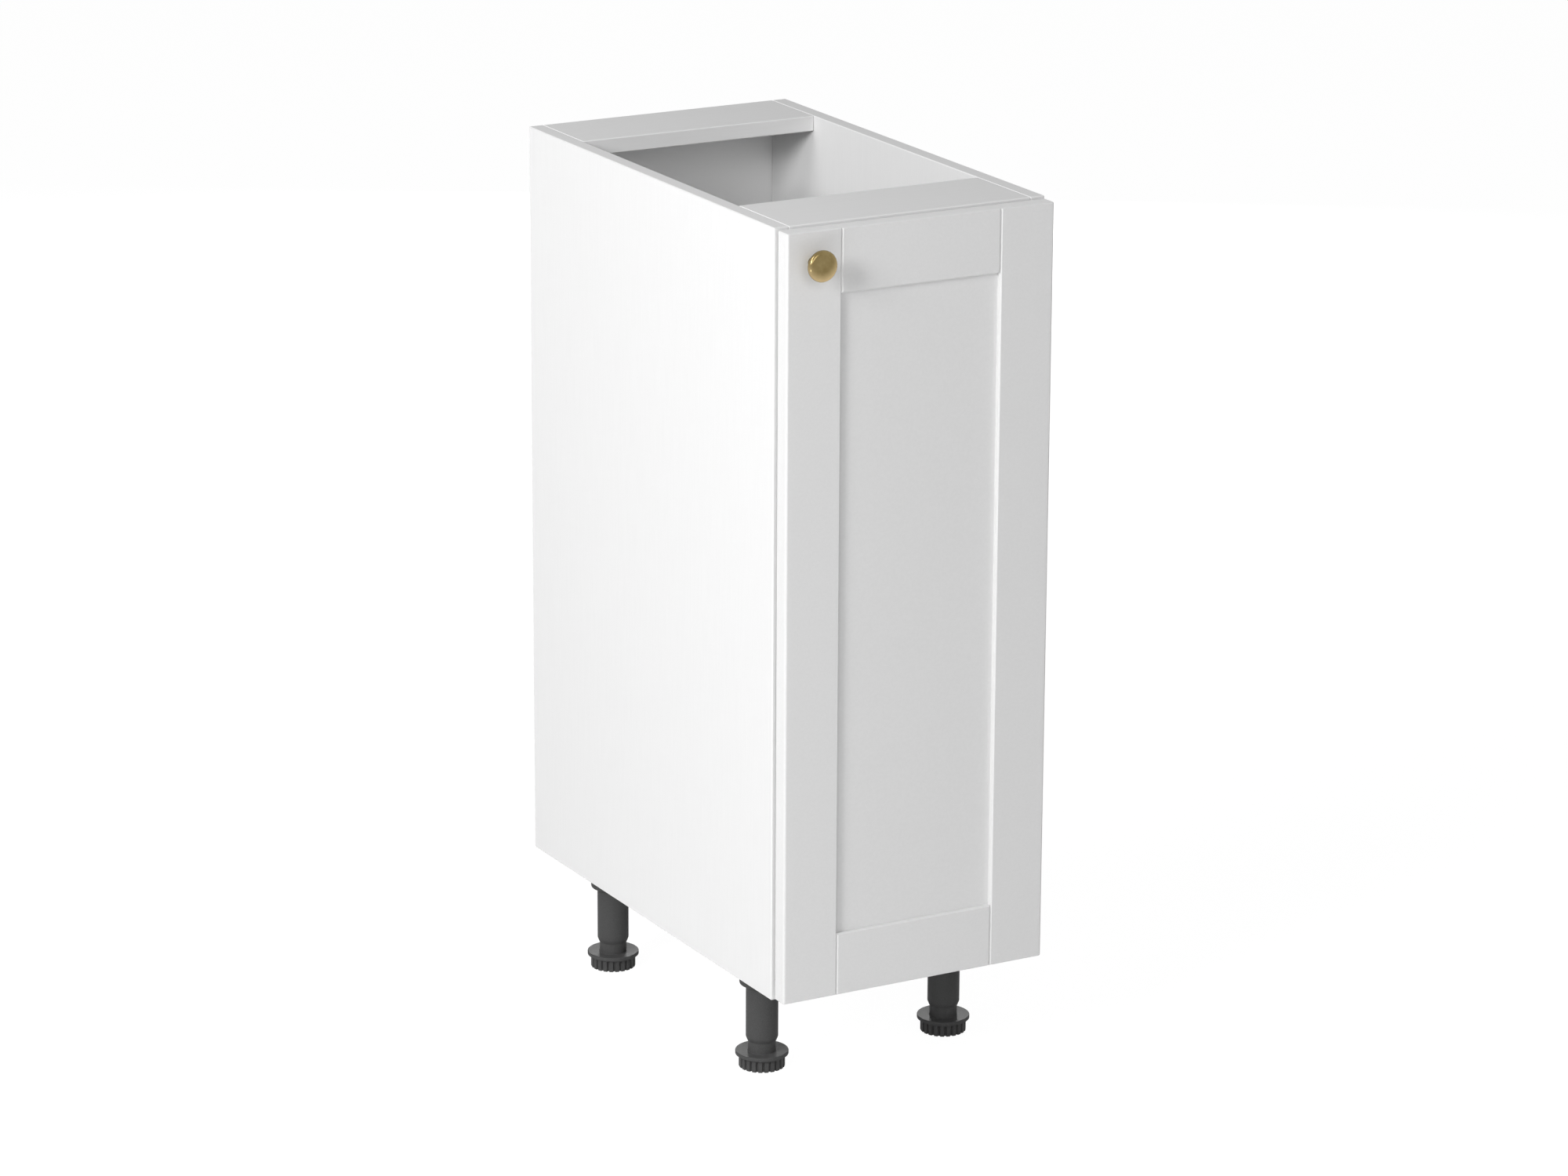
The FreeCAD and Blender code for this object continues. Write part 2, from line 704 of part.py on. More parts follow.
def build_link(name, level):
    body = new_body("link_" + name)
    hook = new_sketch(body, "XY_Plane")
    reach = "(link_reach + link_width)"
    rear = "(link_in_carcass + door_gap + pin_depth + link_drop + link_width / 2)"
    outline(hook, [
        ("0", "0"), (reach, "link_drop"), (reach, "link_drop + link_width"), ("link_width", "link_width"),
        ("link_width", rear), ("0", rear),
    ])
    feature(body, "Pad", hook, "link_thickness")
    wide = value("link_width")
    far = value(reach)
    middle = value("link_thickness") / 2
    dress(body, "Fillet", lambda p: near(p.x, wide) and near(p.y, wide), "link_bend")
    dress(body, "Fillet", lambda p: near(p.x, 0) and near(p.y, 0), "link_bend + link_width")
    dress(body, "Fillet", lambda p: near(p.x, far) and near(p.z, middle), "link_width / 2 - link_end_flat")
    place(body, (f"{LINK_X} - link_width / 2", f"{PIN_Y} - link_drop - link_width / 2",
                 f"{level} - link_thickness / 2"))
    eye = cylinder((PIN_X, PIN_Y, f"{level} - link_thickness / 2"), "+z", "pin_radius + pin_gap", "link_thickness")
    return cut_from(body, [eye] + rivets(level), "Link")


def rivets(level):
    first = f"({FRONT} + arm_setback + rivet_from_end)"
    return [
        rod((LINK_X, y, f"{level} - arm_width / 2"), "+z", "rivet_radius", "arm_width")
        for y in (first, f"({first} + rivet_pitch)")
    ]


def build_arm(name, level):
    body = new_body("arm_" + name)
    channel = new_sketch(body, "XZ_Plane")
    half = "(arm_width / 2)"
    outline(channel, [
        ("0", f"-{half}"), ("arm_rise", f"-{half}"), ("arm_rise", f"-{half} + arm_wall"),
        ("arm_wall", f"-{half} + arm_wall"), ("arm_wall", f"{half} - arm_wall"),
        ("arm_rise", f"{half} - arm_wall"), ("arm_rise", half), ("0", half),
    ])
    feature(body, "Pad", channel, "arm_length", back=True)
    place(body, (ARM_X, f"{FRONT} + arm_setback", level))
    return cut_from(body, rivets(level), "Arm")


def build_plate(name, level):
    body = new_body("hinge_plate_" + name)
    wings = new_sketch(body, "YZ_Plane")
    rectangle(wings, ("-plate_width / 2", "-plate_length / 2"), ("plate_width / 2", "plate_length / 2"))
    feature(body, "Pad", wings, "plate_thickness", back=True)
    wide = value("plate_width") / 2
    long = value("plate_length") / 2
    dress(body, "Chamfer", lambda p: near(abs(p.y), wide) and near(abs(p.z), long), "plate_corner")
    spine = new_sketch(body, "YZ_Plane")
    half = "(arm_width / 2 - arm_wall - spine_gap)"
    rectangle(spine, ("spine_setback - spine_length / 2", f"-{half}"),
              ("spine_setback + spine_length / 2", half))
    feature(body, "Pad", spine, f"{INNER} - {ARM_X} - arm_wall", back=True)
    place(body, (INNER, f"{FRONT} + plate_from_front", level))
    return body


def build_hinges():
    levels = hinge_levels()
    pins = [
        cylinder((PIN_X, PIN_Y, f"{level} - {PIN_HALF}"), "+z", "pin_radius", f"2 * {PIN_HALF}")
        for level in levels.values()
    ]
    group("hinge_pins", pins)
    group("hinge_cups", [build_cup(level) for level in levels.values()])
    group("hinge_links", [build_link(name, level) for name, level in levels.items()])
    group("hinge_arms", [build_arm(name, level) for name, level in levels.items()])
    group("hinge_plates", [build_plate(name, level) for name, level in levels.items()])
    group("hinge_rivets", [rivet for level in levels.values() for rivet in rivets(level)])


def check_and_write():
    doc.recompute()
    for obj in doc.Objects:
        if "Invalid" in obj.State or "Error" in obj.State:
            raise RuntimeError(f"{obj.Label} did not build")
    for node in nodes:
        if node.Shape.isNull() or not node.Shape.isValid():
            raise RuntimeError(f"{node.Label} has no sound shape")
    os.makedirs("parts", exist_ok=True)
    for node in nodes:
        node.Shape.exportStep(os.path.join("parts", node.Label + ".step"))


def main():
    fill_sheet()
    build_carcass()
    build_fittings()
    build_legs()
    build_door()
    build_knob()
    build_hinges()
    check_and_write()


main()
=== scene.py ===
import math

import bpy
import numpy as np
from bpy.props import FloatProperty, FloatVectorProperty, IntProperty, PointerProperty
from mathutils import Matrix, Vector


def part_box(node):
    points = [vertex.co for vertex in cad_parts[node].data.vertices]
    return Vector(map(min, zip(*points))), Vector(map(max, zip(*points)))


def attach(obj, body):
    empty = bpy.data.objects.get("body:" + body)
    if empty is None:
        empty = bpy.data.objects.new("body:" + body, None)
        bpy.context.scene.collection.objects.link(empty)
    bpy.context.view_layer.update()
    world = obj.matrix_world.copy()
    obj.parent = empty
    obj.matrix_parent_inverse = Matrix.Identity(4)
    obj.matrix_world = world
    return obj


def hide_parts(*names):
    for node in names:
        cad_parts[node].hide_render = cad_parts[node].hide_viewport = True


bl_info = {
    "name": "Kitchen base cabinet",
    "version": (1, 0, 0),
    "blender": (4, 5, 0),
    "location": "View3D > Sidebar > Cabinet",
    "description": "Gives a kitchen base cabinet its finishes, small fasteners and studio",
    "category": "Object",
}

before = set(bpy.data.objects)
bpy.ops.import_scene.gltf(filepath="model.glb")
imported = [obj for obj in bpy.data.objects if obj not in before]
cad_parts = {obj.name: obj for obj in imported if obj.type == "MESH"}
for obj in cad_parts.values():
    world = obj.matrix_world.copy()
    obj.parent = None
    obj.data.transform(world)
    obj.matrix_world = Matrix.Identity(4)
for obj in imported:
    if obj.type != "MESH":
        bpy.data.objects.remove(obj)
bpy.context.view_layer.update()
MM = 0.001
LEGS = ("front_left", "front_right", "rear_left", "rear_right")
UP = (0, 0, 1)
DOWN = (0, 0, -1)
FORWARD = (0, -1, 0)
BACKWARD = (0, 1, 0)
LEFTWARD = (-1, 0, 0)
SIDES = (-1, 1)
WHITE = (1, 1, 1, 1)

# Segments round turned pieces, and the angle past which an edge stays sharp
TURNED_SEGMENTS = 96
KNOB_SEGMENTS = 128
NAIL_SEGMENTS = 20
SEGMENTS_PER_FLUTE = 14
SHARP_ANGLE = math.radians(40)

# Sockets of a Mix node that mixes colours
MIX_SHARE = 0
MIX_FIRST = 6
MIX_SECOND = 7
MIX_RESULT = 2

# Each lamp's name, which is also the setting for its power, then its place, the point it is aimed at and its
# width, in metres
LAMPS = (
    ("key", (-3.4, -1.6, 2.3), (0, 0, 0.45), 1.2),
    ("fill", (-0.9, -4.2, 2.4), (0, 0, 0.6), 2.5),
    ("low", (-1.3, -1.35, 0.16), (0, -0.2, 0.2), 0.3),
    ("top", (-2.4, 0.2, 3.0), (0, 0, 0.7), 1.6),
    ("rear", (1.9, 3.3, 0.45), (0, 0.25, 0.5), 0.9),
)

# Camera fitted to the photographed edges: place in metres, and turns in degrees with the first turn last
CAMERA_PLACE = (-2.67317, -4.80991, 2.09890)
CAMERA_TURNS = ((-29.02, "Z"), (-16.68, "X"), (-0.27, "Y"), (90, "X"))
SENSOR_WIDTH = 36
FAR_CLIP = 200

# The floor's half width and its depth under the feet in metres, its glow, and the share of lamplight and
# shadow that it shows
FLOOR_REACH = 30
FLOOR_DROP = 0.0002
FLOOR_GLOW = 0.965
FLOOR_TRACE = 0.11


def linear(code):
    """Turn an sRGB hex code into linear light.

    A channel c becomes ((c + 0.055) / 1.055) ** 2.4, or c / 12.92 where it is dark.
    """
    channels = [int(code[i:i + 2], 16) / 255 for i in (0, 2, 4)]
    return tuple(((c + 0.055) / 1.055) ** 2.4 if c > 0.04045 else c / 12.92 for c in channels)


def colour(name, code, text):
    return FloatVectorProperty(name=name, description=text, subtype="COLOR", size=3, min=0, max=1,
                               default=linear(code))


def length(name, millimetres, text):
    return FloatProperty(name=name, description=text, subtype="DISTANCE", unit="LENGTH", min=0,
                         default=millimetres * MM, precision=5)


def whole(name, number, least, text):
    return IntProperty(name=name, description=text, default=number, min=least)


def power(name, watts, text):
    return FloatProperty(name=name, description=text, unit="POWER", default=watts, min=0)


# What a user may change
class CabinetFinishes(bpy.types.PropertyGroup):
    board: colour("Board white", "EAEAEA", "Melamine on the sides, bottom, rails and shelf")
    paint: colour("Door white", "E6E6E6", "Satin paint on the door's frame and panel")
    back_face: colour("Back white", "EEEEEE", "White face of the back board, inside the cabinet")
    back_fibre: colour("Back brown", "9A7550", "Bare fibreboard on the wall side of the back board")
    plastic: colour("Leg plastic", "4E4E4E", "Moulded plastic of the legs and feet")
    brass: colour("Brass", "8C7C56", "Aged brass of the knob")
    brass_dark: colour("Brass tarnish", "7F6E48", "Darker patches on the knob")
    # Painted reflection: the colour that the knob is painted towards its lower edge
    brass_painted_reflection: colour("Brass painted reflection", "CDB68A", "Brass painted lighter towards the knob's lower edge, a painted reflection")
    nickel: colour("Nickel", "BFBCB5", "Plating on the hinges")
    zinc: colour("Zinc", "B4B6B8", "Plating on screws and cam bolts")
    cast: colour("Cast zinc", "8F9193", "Cam housings")
    beech: colour("Beech", "C9A272", "Dowels")
    pin: colour("Shelf pin", "D9D9D5", "Plastic shelf pins")
    bumper: colour("Bumper", "DEDFDD", "Soft bumpers behind the door")


class CabinetFittings(bpy.types.PropertyGroup):
    flutes: whole("Flutes", 22, 3, "Grip flutes round each foot")
    flute_depth: length("Flute depth", 2.3, "How far a flute goes into the foot's ring")
    flute_height: length("Flute height", 11, "Height of a flute above the floor")
    ring_radius: length("Ring radius", 23.4, "Radius of the fluted ring of a foot")
    ring_height: length("Ring height", 13.2, "Height of the fluted ring of a foot")
    flange: length("Flange", 3.8, "Thickness of a foot's flange")
    flange_dish: length("Flange dish", 0.9, "How far the flange sinks towards the stem")
    stem_radius: length("Stem radius", 14.1, "Radius of a foot's stem")
    plate: length("Leg plate", 4, "Thickness of a leg's plate under the bottom board")
    plate_corner: length("Plate corner", 9, "Corner radius of a leg's plate")
    plate_width: length("Plate width", 60, "Width of a leg's plate")
    collar_radius: length("Collar radius", 23, "Outer radius of a leg plate's collar")
    tube_radius: length("Tube radius", 16.4, "Outer radius of a leg tube")
    tube_bore: length("Tube bore", 14.4, "Inner radius of a leg tube")
    tube_taper: length("Tube taper", 4, "Height of the bevel at a tube's lower end")
    knob_stem: length("Knob stem", 5.5, "Radius of the knob's stem")
    knob_head: length("Knob head", 7, "Thickness of the knob's head")
    knob_crown: length("Knob crown", 1.1, "How far the knob's face is domed")
    cup_bore: length("Cup bore", 15.7, "Inner radius of a hinge cup")
    cup_radius: length("Cup radius", 17.5, "Outer radius of a hinge cup")
    cup_rim: length("Cup rim", 0.4, "How far a hinge cup's rim stands out past its wall")
    cup_sheet: length("Cup rim thickness", 0.8, "Thickness of a hinge cup's rim and ears")
    ear_pitch: length("Ear pitch", 48, "Distance between a hinge cup's two screws")
    ear_radius: length("Ear radius", 6, "Radius of a hinge cup's ears")
    screw_head: length("Screw head", 3.6, "Radius of the hinge screws' heads")
    plate_screw: length("Leg screw head", 3.9, "Radius of the leg plate screws' heads")
    groove_from_front: length("Groove place", 4.9, "From the door's front to the groove in its frame")
    groove_width: length("Groove width", 8.2, "Width of the groove in the door's frame")
    groove_depth: length("Groove depth", 8, "Depth of the groove in the door's frame")
    groove_filler: length("Groove filler", 0.95, "Thickness of the filler in a groove's open end")
    nail_head: length("Nail head", 2.6, "Radius of the back board's nail heads")
    nails_per_side: whole("Nails per side", 6, 2, "Nails down each side of the back board")


class CabinetStudio(bpy.types.PropertyGroup):
    lens: FloatProperty(name="Lens", description="Focal length on a 36 mm sensor",
                        subtype="DISTANCE_CAMERA", default=129.785, min=1)
    key: power("Key light", 91, "Soft lamp on the left")
    fill: power("Fill light", 39, "Soft lamp in front")
    low: power("Low light", 2, "Small lamp near the floor on the left")
    top: power("Top light", 30, "Soft lamp high on the left")
    rear: power("Rear light", 70, "Soft lamp behind")
    sky: FloatProperty(name="Sky", description="Even light from all round", default=0.2, min=0)
    floor: colour("Floor", "E8E8E8", "Floor as the light sees it")


class Cabinet(bpy.types.PropertyGroup):
    finishes: PointerProperty(type=CabinetFinishes, name="Finishes", description="Colours of the finishes")
    fittings: PointerProperty(type=CabinetFittings, name="Fittings",
                              description="Sizes of knob, feet and fasteners")
    studio: PointerProperty(type=CabinetStudio, name="Studio", description="Camera, lamps and floor")


# Nodes and materials
def add_node(tree, kind, settings, links=None):
    """Add a node, give it its settings and join its inputs to (node, output) pairs."""
    node = tree.nodes.new(kind)
    for name, value in settings.items():
        if isinstance(name, int) or name in node.inputs:
            node.inputs[name].default_value = value
        else:
            setattr(node, name, value)
    for name, (source, output) in (links or {}).items():
        tree.links.new(source.outputs[output], node.inputs[name])
    return node


def per_mm(size):
    """Texture scale for a pattern whose spots are this many millimetres across."""
    return 1 / (size * MM)


def shade(rgb, amount):
    """A colour made lighter or darker, with the alpha that sockets ask for."""
    return (*[c * amount for c in rgb], 1)


def new_material(name, settings):
    """Start a material: its Principled shader with even values set, and Object coordinates."""
    material = bpy.data.materials.new(name)
    material.use_nodes = True
    tree = material.node_tree
    shader = tree.nodes["Principled BSDF"]
    for socket, value in settings.items():
        shader.inputs[socket].default_value = value
    coords = add_node(tree, "ShaderNodeTexCoord", {})
    return material, tree, shader, coords


def speckle(tree, coords, size, detail=2.0, stretch=None):
    """Noise with spots of a size in millimetres, drawn out along an axis where stretch says so."""
    source = (coords, "Object")
    if stretch:
        drawn_out = add_node(tree, "ShaderNodeMapping", {"Scale": stretch}, {"Vector": source})
        source = (drawn_out, "Vector")
    settings = {"Scale": per_mm(size), "Detail": detail}
    return add_node(tree, "ShaderNodeTexNoise", settings, {"Vector": source})


def roughen(tree, shader, noise, low, high):
    """Roughness from low to high, as a noise goes through the middle of its range."""
    settings = {"From Min": 0.3, "From Max": 0.7, "To Min": low, "To Max": high}
    spread = add_node(tree, "ShaderNodeMapRange", settings, {"Value": (noise, "Fac")})
    tree.links.new(spread.outputs["Result"], shader.inputs["Roughness"])


def two_tone(tree, shader, noise, first, second):
    """Mix two colours, as a noise goes through the middle of its range."""
    settings = {"From Min": 0.35, "From Max": 0.65}
    share = add_node(tree, "ShaderNodeMapRange", settings, {"Value": (noise, "Fac")})
    settings = {"data_type": "RGBA", MIX_FIRST: first, MIX_SECOND: second}
    mixed = add_node(tree, "ShaderNodeMix", settings, {MIX_SHARE: (share, "Result")})
    tree.links.new(mixed.outputs[MIX_RESULT], shader.inputs["Base Color"])
    return mixed


def emboss(tree, shader, noise, depth, strength):
    """Bump from a pattern whose full height is a depth in millimetres."""
    settings = {"Strength": strength, "Distance": depth * MM}
    bump = add_node(tree, "ShaderNodeBump", settings, {"Height": (noise, "Fac")})
    tree.links.new(bump.outputs["Normal"], shader.inputs["Normal"])


def melamine(finishes, run):
    # Melamine-faced chipboard, pressed against a faintly grained plate: an even matt white, streaked along
    # the board. The real streaks of about 0.5 mm are drawn 3 mm wide so that they show.
    stretch = {"upright": (1, 1, 0.05), "crosswise": (0.05, 1, 1)}[run]
    material, tree, shader, coords = new_material(f"melamine_faced_board_{run}", {"IOR": 1.5})
    grain = speckle(tree, coords, size=3, detail=3, stretch=stretch)
    two_tone(tree, shader, grain, shade(finishes.board, 0.99), shade(finishes.board, 1.005))
    roughen(tree, shader, grain, low=0.66, high=0.74)
    emboss(tree, shader, grain, depth=0.05, strength=0.18)
    return material


def satin_paint(finishes):
    # Sprayed satin paint on fibreboard: soft sheen over a faint orange peel about 3 mm across.
    material, tree, shader, coords = new_material("sprayed_satin_paint", {"IOR": 1.5})
    peel = speckle(tree, coords, size=3)
    two_tone(tree, shader, peel, shade(finishes.paint, 0.99), shade(finishes.paint, 1.01))
    roughen(tree, shader, peel, low=0.36, high=0.46)
    emboss(tree, shader, peel, depth=0.06, strength=0.4)
    return material


def fibreboard(finishes):
    # Hard fibreboard, white-faced inside and bare brown on the wall side, where pressed fibres fleck it.
    material, tree, shader, coords = new_material("white_faced_fibreboard", {"IOR": 1.5})
    flecks = speckle(tree, coords, size=2.5, detail=6, stretch=(0.35, 1, 1))
    roughen(tree, shader, flecks, low=0.5, high=0.62)
    fibre = finishes.back_fibre
    brown = two_tone(tree, shader, flecks, shade(fibre, 0.72), shade(fibre, 1.15))
    middle = sum(corner.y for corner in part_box("back_panel")) / 2
    split = add_node(tree, "ShaderNodeSeparateXYZ", {}, {"Vector": (coords, "Object")})
    outside = add_node(tree, "ShaderNodeMath", {"operation": "GREATER_THAN", 1: middle}, {0: (split, "Y")})
    settings = {"data_type": "RGBA", MIX_FIRST: shade(finishes.back_face, 1)}
    links = {MIX_SHARE: (outside, "Value"), MIX_SECOND: (brown, MIX_RESULT)}
    faces = add_node(tree, "ShaderNodeMix", settings, links)
    tree.links.new(faces.outputs[MIX_RESULT], shader.inputs["Base Color"])
    emboss(tree, shader, flecks, depth=0.06, strength=0.3)
    return material


def moulded_plastic(finishes):
    # Black polypropylene from a spark-eroded mould: dark grey and matt, with a fine sandy skin that reflects
    # little. The real skin of about 0.2 mm is drawn at 0.7 mm so that it shows.
    settings = {"IOR": 1.49, "Specular IOR Level": 0.06}
    material, tree, shader, coords = new_material("moulded_polypropylene", settings)
    sand = speckle(tree, coords, size=0.7, detail=3)
    two_tone(tree, shader, sand, shade(finishes.plastic, 0.9), shade(finishes.plastic, 1.12))
    roughen(tree, shader, sand, low=0.5, high=0.58)
    emboss(tree, shader, sand, depth=0.04, strength=0.4)
    return material


def aged_brass(finishes, centre, radius):
    # Turned brass, lacquered and gone dull: rings from the lathe about 0.6 mm apart under a brown tarnish.
    # Towards the lower edge the brass is painted lighter, a painted reflection of the bright floor.
    material, tree, shader, coords = new_material("aged_turned_brass", {"Metallic": 1.0})
    tarnish = speckle(tree, coords, size=9, detail=4)
    dull = two_tone(tree, shader, tarnish, shade(finishes.brass, 1), shade(finishes.brass_dark, 1))
    roughen(tree, shader, tarnish, low=0.14, high=0.2)
    # Painted reflection: the tarnished colour stays near a spot above and left of the middle, and is painted
    # lighter farther away
    painted_gradient_left = 0.1 * radius
    painted_gradient_up = 0.35 * radius
    settings = {"Location": (-centre[0] + painted_gradient_left, 0, -centre[2] - painted_gradient_up), "Scale": (1, 0, 1)}
    flat = add_node(tree, "ShaderNodeMapping", settings, {"Vector": (coords, "Object")})
    away = add_node(tree, "ShaderNodeVectorMath", {"operation": "LENGTH"}, {0: (flat, "Vector")})
    reflection_starts_past = 0.6 * radius
    reflection_full_past = 1.5 * radius
    settings = {"interpolation_type": "SMOOTHSTEP", "From Min": reflection_starts_past, "From Max": reflection_full_past}
    reflection_share = add_node(tree, "ShaderNodeMapRange", settings, {"Value": (away, "Value")})
    settings = {"data_type": "RGBA", MIX_SECOND: shade(finishes.brass_painted_reflection, 1)}
    links = {MIX_SHARE: (reflection_share, "Result"), MIX_FIRST: (dull, MIX_RESULT)}
    face = add_node(tree, "ShaderNodeMix", settings, links)
    tree.links.new(face.outputs[MIX_RESULT], shader.inputs["Base Color"])
    settings = {"vector_type": "POINT", "Location": tuple(-c for c in centre)}
    about = add_node(tree, "ShaderNodeMapping", settings, {"Vector": (coords, "Object")})
    # A wave texture has one ring in every tau / (20 scale)
    ring_gap = 0.6 * MM
    settings = {
        "wave_type": "RINGS", "rings_direction": "Y", "Scale": math.tau / (20 * ring_gap), "Distortion": 0.4,
    }
    rings = add_node(tree, "ShaderNodeTexWave", settings, {"Vector": (about, "Vector")})
    emboss(tree, shader, rings, depth=0.012, strength=0.25)
    return material


def nickel_plate(finishes):
    # Pressed steel with bright nickel: metal drawn lengthwise, with fine lines about 0.5 mm apart.
    material, tree, shader, coords = new_material("nickel_plated_steel", {"Metallic": 1.0})
    drawn = speckle(tree, coords, size=0.5, stretch=(1, 0.06, 1))
    two_tone(tree, shader, drawn, shade(finishes.nickel, 0.92), shade(finishes.nickel, 1.05))
    roughen(tree, shader, drawn, low=0.24, high=0.36)
    emboss(tree, shader, drawn, depth=0.01, strength=0.3)
    return material


def zinc_plate(finishes):
    # Zinc-plated steel screws: bright grey metal, a little cloudy from the plating bath.
    material, tree, shader, coords = new_material("zinc_plated_steel", {"Metallic": 1.0})
    cloud = speckle(tree, coords, size=2)
    two_tone(tree, shader, cloud, shade(finishes.zinc, 0.85), shade(finishes.zinc, 1))
    roughen(tree, shader, cloud, low=0.26, high=0.4)
    return material


def die_cast_zinc(finishes):
    # Die-cast zinc: dull grey metal with a frosty skin about 0.6 mm across.
    material, tree, shader, coords = new_material("die_cast_zinc", {"Metallic": 1.0})
    frost = speckle(tree, coords, size=0.6, detail=4)
    two_tone(tree, shader, frost, shade(finishes.cast, 0.8), shade(finishes.cast, 1.1))
    roughen(tree, shader, frost, low=0.42, high=0.58)
    emboss(tree, shader, frost, depth=0.02, strength=0.4)
    return material


def bare_beech(finishes):
    # Bare beech dowel: grain runs along the dowel, with short brown flecks about 1 mm wide.
    material, tree, shader, coords = new_material("bare_beech", {"IOR": 1.5})
    grain = speckle(tree, coords, size=1, detail=4, stretch=(0.12, 1, 1))
    two_tone(tree, shader, grain, shade(finishes.beech, 0.72), shade(finishes.beech, 1.05))
    roughen(tree, shader, grain, low=0.55, high=0.7)
    return material


def pale_plastic(finishes):
    # Natural nylon shelf pins: milky and half matt, with light sinking a little into them.
    settings = {"IOR": 1.53, "Subsurface Weight": 0.2, "Subsurface Scale": 0.002}
    material, tree, shader, coords = new_material("natural_nylon", settings)
    milk = speckle(tree, coords, size=0.8)
    two_tone(tree, shader, milk, shade(finishes.pin, 0.96), shade(finishes.pin, 1))
    roughen(tree, shader, milk, low=0.34, high=0.44)
    return material


def soft_bumper(finishes):
    # Clear polyurethane dots: see-through and soft, a little hazy.
    settings = {"IOR": 1.48, "Transmission Weight": 0.6}
    material, tree, shader, coords = new_material("clear_polyurethane", settings)
    haze = speckle(tree, coords, size=1.5)
    two_tone(tree, shader, haze, shade(finishes.bumper, 0.95), shade(finishes.bumper, 1))
    roughen(tree, shader, haze, low=0.25, high=0.35)
    return material


def dress(material, *nodes):
    """Give a material to CAD nodes, in the slots they already have."""
    for name in nodes:
        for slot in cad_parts[name].material_slots:
            slot.material = material


def finish_of(node):
    """The material that a CAD node was given."""
    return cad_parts[node].material_slots[0].material


# Surfaces
def rounded(corners, reach, steps=6):
    """A profile with its inner corners rounded.

    Each corner p between a and b, which lie a reach away along the two sides, becomes the curve
    (1 - t)^2 a + 2 t (1 - t) p + t^2 b. The reach is in millimetres, one for all corners or one each.
    """
    corners = np.array(corners, float)
    reach = np.broadcast_to(np.array(reach, float) * MM, (len(corners) - 2,))[:, None]
    inner = corners[1:-1]
    back = corners[:-2] - inner
    ahead = corners[2:] - inner
    a = inner + back * reach / np.linalg.norm(back, axis=1, keepdims=True)
    b = inner + ahead * reach / np.linalg.norm(ahead, axis=1, keepdims=True)
    t = np.linspace(0, 1, steps)[None, :, None]
    curve = (1 - t) ** 2 * a[:, None] + 2 * t * (1 - t) * inner[:, None] + t ** 2 * b[:, None]
    return np.vstack([corners[:1], curve.reshape(-1, 2), corners[-1:]])


def angles(segments):
    return np.linspace(0, math.tau, segments, endpoint=False)


def turned(u, r, h, centre, axis):
    """Rings of points centre + h n + r (cos u a + sin u (n x a)), with n the axis and a across it."""
    n = np.array(axis, float)
    a = n[[2, 0, 1]]
    outward_from_axis = np.cos(u)[:, None] * a + np.sin(u)[:, None] * np.cross(n, a)
    return np.array(centre, float) + h[..., None] * n + r[..., None] * outward_from_axis


def lathe(profile, segments, centre, axis, squeeze=None):
    """Rings of a turned surface, r(v) from its axis and h(v) along it.

    Where squeeze is given, r at angle u is squeeze(u, r, h).
    """
    u = angles(segments)
    r, h = (np.repeat(profile[:, i, None], segments, axis=1) for i in (0, 1))
    if squeeze is not None:
        r = squeeze(u, r, h)
    return turned(u, r, h, centre, axis)


def skin(rings, loop=False):
    """Points and faces that join rings, with the ends closed by a fan, or ring to ring when they loop."""
    count, around = rings.shape[:2]
    points = rings.reshape(-1, 3)
    i, j = np.meshgrid(np.arange(count if loop else count - 1), np.arange(around), indexing="ij")
    next_i = (i + 1) % count
    next_j = (j + 1) % around
    corners = (i * around + j, i * around + next_j, next_i * around + next_j, next_i * around + j)
    faces = np.stack(corners, axis=-1).reshape(-1, 4).tolist()
    if not loop:
        spin = np.arange(around)
        spun = (spin + 1) % around
        last = (count - 1) * around
        poles = np.array([rings[0].mean(axis=0), rings[-1].mean(axis=0)])
        first_pole = np.full(around, len(points))
        start = np.stack((spun, spin, first_pole), axis=-1)
        end = np.stack((last + spin, last + spun, first_pole + 1), axis=-1)
        faces += start.tolist() + end.tolist()
        points = np.vstack([points, poles])
    return points, faces


def outward(points, faces):
    """Turn faces over where the volume they close, the sum of a . (b x c) / 6, is negative."""
    fan = np.array([(f[0], f[k], f[k + 1]) for f in faces for k in range(1, len(f) - 1)])
    a, b, c = (points[fan[:, k]] for k in range(3))
    volume = np.einsum("ij,ij->", a, np.cross(b, c))
    return faces if volume > 0 else [face[::-1] for face in faces]


def piece(name, shells, material, body, nodes=()):
    """One object at the origin from several closed shells, riding on a body."""
    points = np.vstack([shell[0] for shell in shells])
    faces = []
    start = 0
    for shell_points, shell_faces in shells:
        middle = shell_points.mean(axis=0)
        faces += [[start + k for k in face] for face in outward(shell_points - middle, shell_faces)]
        start += len(shell_points)
    mesh = bpy.data.meshes.new(name)
    mesh.from_pydata(points.tolist(), [], faces)
    mesh.materials.append(material)
    mesh.shade_smooth()
    mesh.set_sharp_from_angle(angle=SHARP_ANGLE)
    made = bpy.data.objects.new(name, mesh)
    bpy.context.scene.collection.objects.link(made)
    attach(made, body)
    if nodes:
        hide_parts(*nodes)


